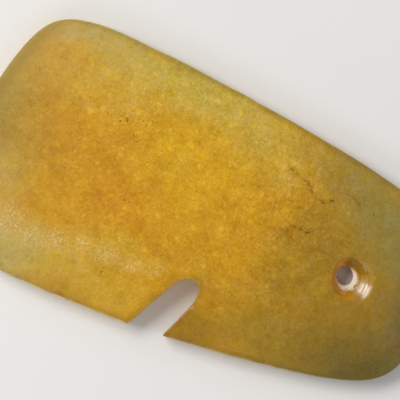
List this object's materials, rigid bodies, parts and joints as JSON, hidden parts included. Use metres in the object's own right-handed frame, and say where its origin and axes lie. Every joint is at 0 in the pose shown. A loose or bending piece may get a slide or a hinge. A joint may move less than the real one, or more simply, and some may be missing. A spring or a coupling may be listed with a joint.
{
  "type": "stone pendant",
  "caption": "Flat tapering stone plate with a domed front, rounded corners, a drilled cord hole near the narrow end and a slot in one side.",
  "frame": {"origin": "middle of the plate's bounding box in plan, on the flat back face", "axes": "+X along the plate towards the drilled narrow end, +Y towards the long side without the slot, +Z out of the domed front face"},
  "size_m": [0.082, 0.0448, 0.0054],
  "materials": {
    "yellow_stone": "hand-polished, slightly translucent"
  },
  "bodies": {
    "root": {"stone_plate": "yellow_stone"}
  },
  "joints": []
}
